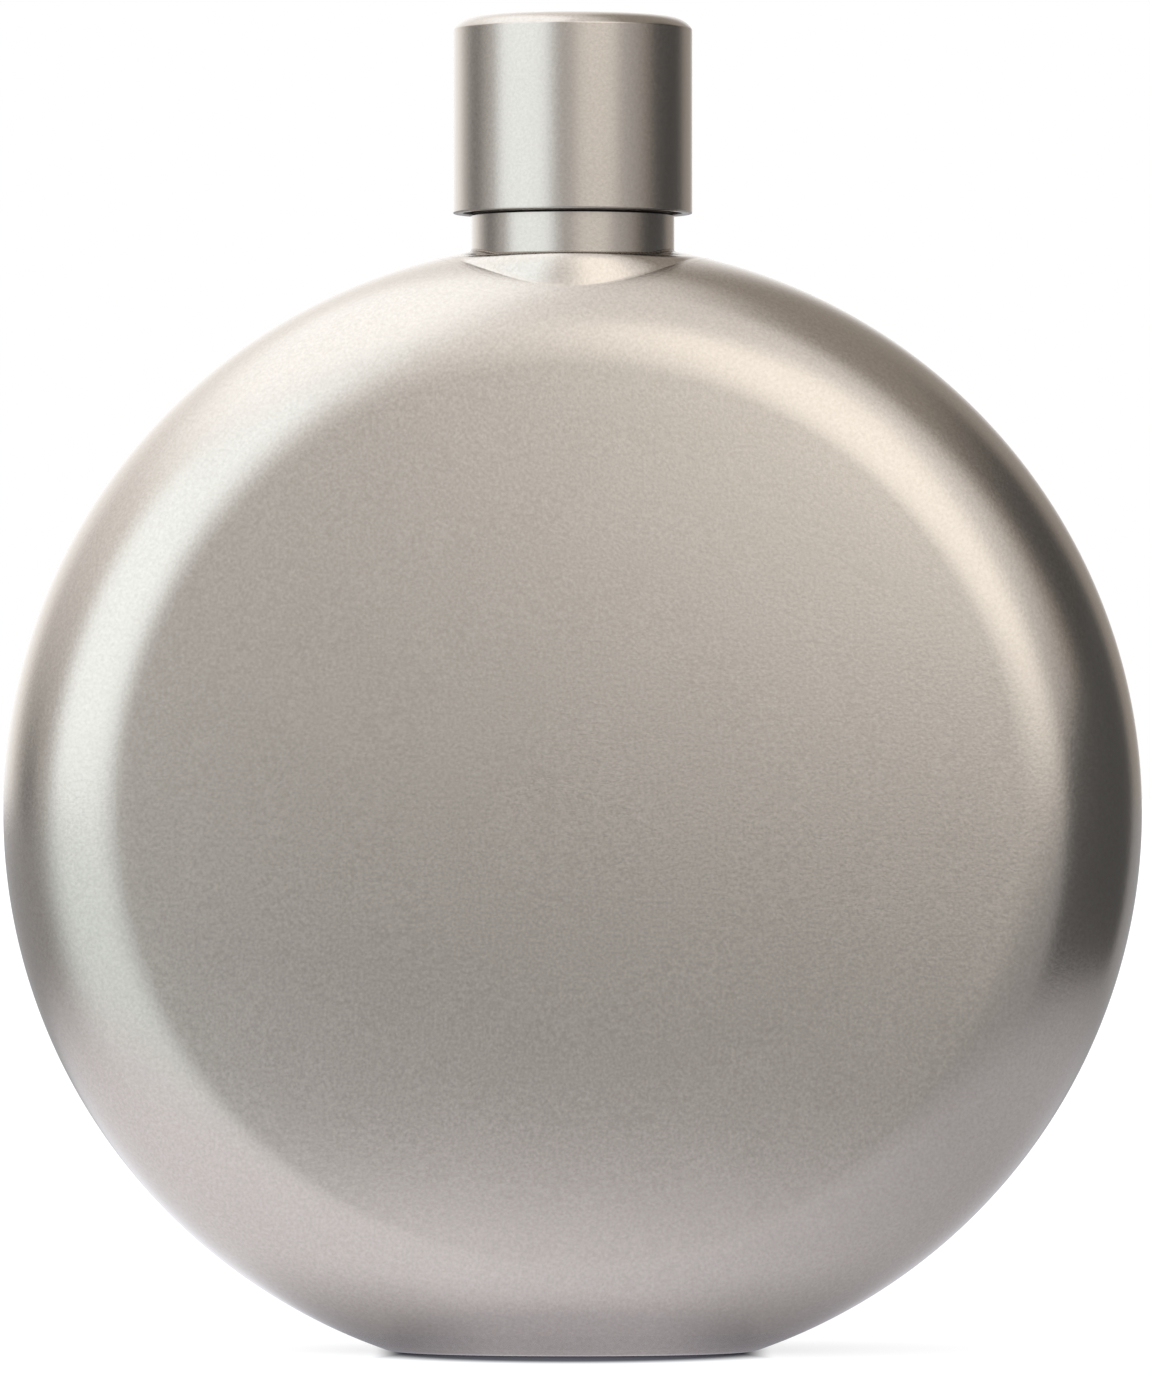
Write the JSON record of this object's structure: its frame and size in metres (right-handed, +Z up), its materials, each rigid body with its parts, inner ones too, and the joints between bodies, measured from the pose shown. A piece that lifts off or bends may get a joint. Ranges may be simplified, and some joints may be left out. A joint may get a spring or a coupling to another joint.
{
  "type": "hip flask",
  "caption": "Round titanium hip flask with gently domed faces, a flat foot, a short neck and a screw cap that unscrews and lifts off.",
  "frame": {"origin": "middle of the flat foot, on the surface that the flask stands on", "axes": "+Z up through the neck and cap, -Y out of the front face, +X to the right as seen from the front"},
  "size_m": [0.095, 0.028, 0.1113],
  "materials": {
    "body_titanium": "bead-blasted titanium, satin",
    "turned_titanium": "turned and satin blasted titanium",
    "weld_metal": "titanium weld, dressed flush",
    "liner_polymer": "moulded acetal, dark grey",
    "seal_silicone": "translucent white silicone"
  },
  "bodies": {
    "flask": {"front_shell": "body_titanium", "rear_shell": "body_titanium", "seam_weld_left": "weld_metal", "seam_weld_right": "weld_metal", "base_plate": "body_titanium", "base_weld": "weld_metal", "neck_spout": "turned_titanium", "neck_weld": "weld_metal"},
    "seal": {"cap_seal": "seal_silicone"},
    "cap": {"cap_shell": "turned_titanium", "cap_thread_liner": "liner_polymer"}
  },
  "joints": [
    {"name": "cap_lift", "type": "slide", "parent": "flask", "child": "seal", "axis": [0, 0, 1], "range_m": [0, 0.015]},
    {"name": "cap_turn", "type": "hinge", "parent": "seal", "child": "cap", "pos_m": [0, 0, 0.103], "axis": [0, 0, 1], "range_deg": [0, 2160]}
  ],
  "couplings": [
    {"joint": "cap_lift", "follows": "cap_turn", "m_per_rad": 0.00039789}
  ]
}
